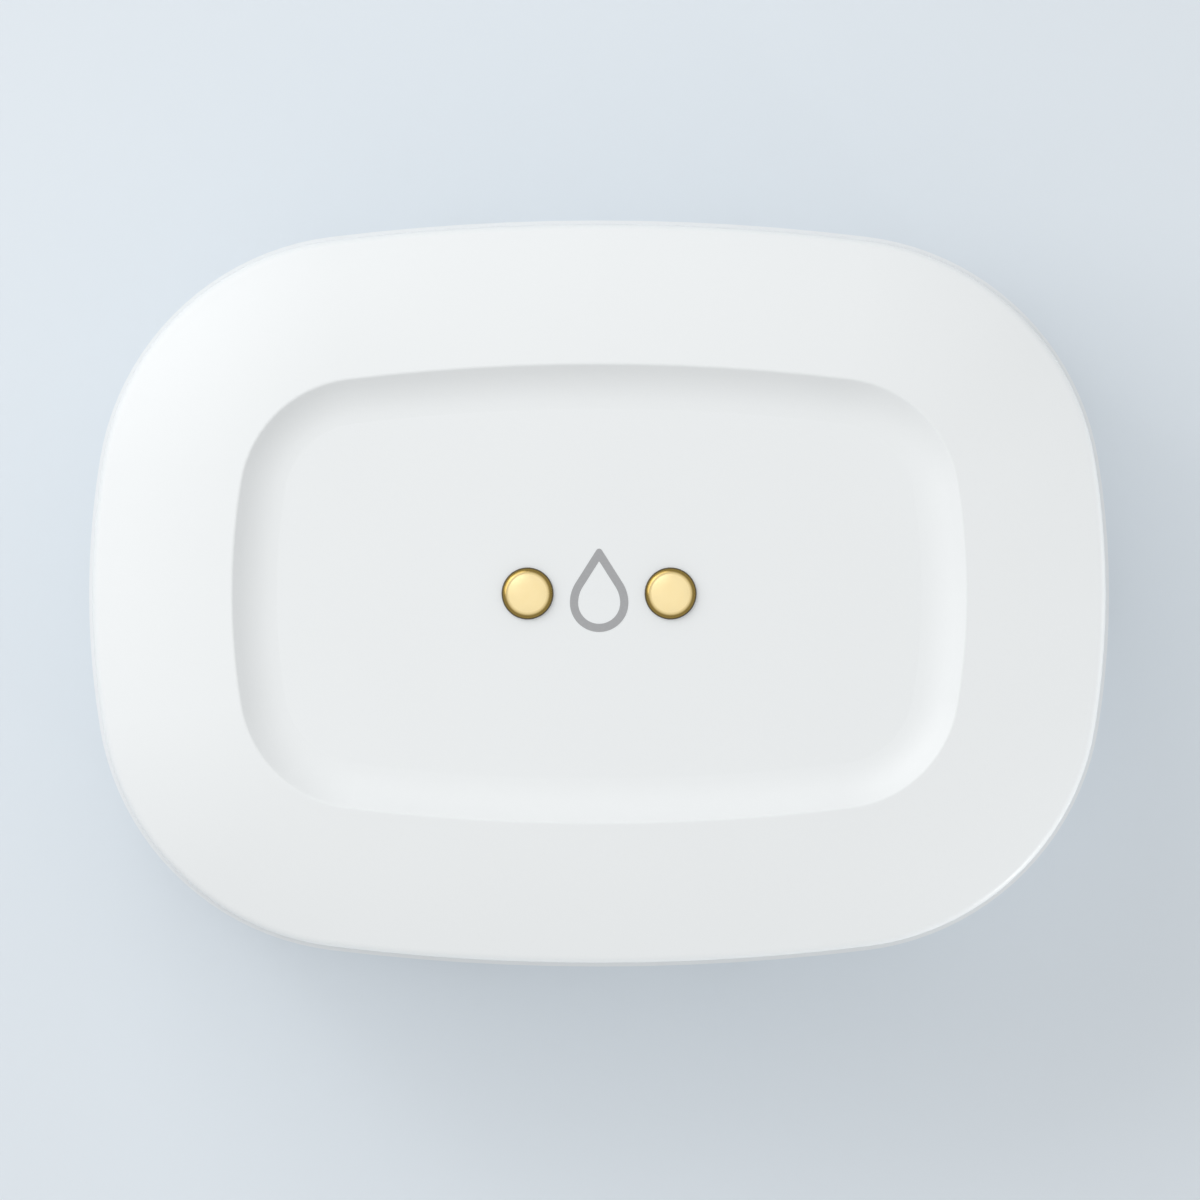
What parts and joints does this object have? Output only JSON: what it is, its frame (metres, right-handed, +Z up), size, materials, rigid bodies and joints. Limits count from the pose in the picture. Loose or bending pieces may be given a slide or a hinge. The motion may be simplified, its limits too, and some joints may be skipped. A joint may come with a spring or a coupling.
{
  "type": "water leak sensor",
  "caption": "Small rounded floor sensor with a dished top carrying gold drip contacts, gold floor contacts below, a coin-slotted battery cap and a pairing button.",
  "frame": {"origin": "on the surface the sensor stands on, under the middle of the body", "axes": "+X along the long side, towards the pairing button; +Y across; +Z up, out of the dish"},
  "size_m": [0.054, 0.0396, 0.02],
  "materials": {
    "cover_plastic": "fine satin moulding",
    "base_plastic": "fine satin moulding",
    "button_plastic": "satin moulding",
    "seal_rubber": "matte silicone",
    "gold_contact": "gold flash over a polished dome",
    "spring_metal": "tinned spring sheet",
    "screw_steel": "plain stainless",
    "board_laminate": "green solder mask",
    "chip_plastic": "black mould compound",
    "shield_tin": "tinned sheet",
    "ceramic": "fired ceramic",
    "capacitor_case": "moulded tantalum case",
    "led_lens": "clear epoxy",
    "light_guide": "clear moulding",
    "cell_steel": "nickel-plated can"
  },
  "bodies": {
    "housing": {"top_cover": "cover_plastic", "base_housing": "base_plastic", "housing_seal": "seal_rubber", "drip_contact_left": "gold_contact", "drip_contact_right": "gold_contact", "drip_contact_seal_left": "seal_rubber", "drip_contact_seal_right": "seal_rubber", "drip_contact_clips": "spring_metal", "drip_spring_left": "spring_metal", "drip_spring_right": "spring_metal", "floor_contact_front_left": "gold_contact", "floor_contact_front_right": "gold_contact", "floor_contact_rear_left": "gold_contact", "floor_contact_rear_right": "gold_contact", "floor_contact_seals": "seal_rubber", "circuit_board": "board_laminate", "board_screws": "screw_steel", "radio_chip": "chip_plastic", "radio_shield": "shield_tin", "chip_antenna": "ceramic", "sense_chip": "chip_plastic", "storage_capacitor": "capacitor_case", "status_led": "led_lens", "light_pipe": "light_guide", "battery_cell": "cell_steel", "battery_positive_contact": "spring_metal", "battery_negative_contact": "spring_metal", "switch_body": "chip_plastic", "housing_screws": "screw_steel", "housing_screw_seals": "seal_rubber"},
    "cap_lift": {"battery_cap_seal": "seal_rubber"},
    "cap": {"battery_cap": "base_plastic"},
    "button": {"pairing_button": "button_plastic", "pairing_button_seal": "seal_rubber", "pairing_button_clip": "spring_metal"},
    "plunger": {"switch_plunger": "button_plastic"}
  },
  "joints": [
    {"name": "cap_lift_out", "type": "slide", "parent": "housing", "child": "cap_lift", "axis": [0, 0, -1], "range_m": [0, 0.0018]},
    {"name": "cap_turn", "type": "hinge", "parent": "cap_lift", "child": "cap", "pos_m": [0, 0, 0.0014], "axis": [0, 0, -1], "range_deg": [0, 540]},
    {"name": "button_press", "type": "slide", "parent": "housing", "child": "button", "axis": [-1, 0, 0], "range_m": [0, 0.0004], "stiffness_N_per_m": 4000, "springref_m": -0.0001},
    {"name": "plunger_press", "type": "slide", "parent": "housing", "child": "plunger", "axis": [-1, 0, 0], "range_m": [0, 0.0004]}
  ],
  "couplings": [
    {"joint": "cap_lift_out", "follows": "cap_turn", "m_per_rad": 0.00019099},
    {"joint": "plunger_press", "follows": "button_press", "ratio": 1}
  ]
}
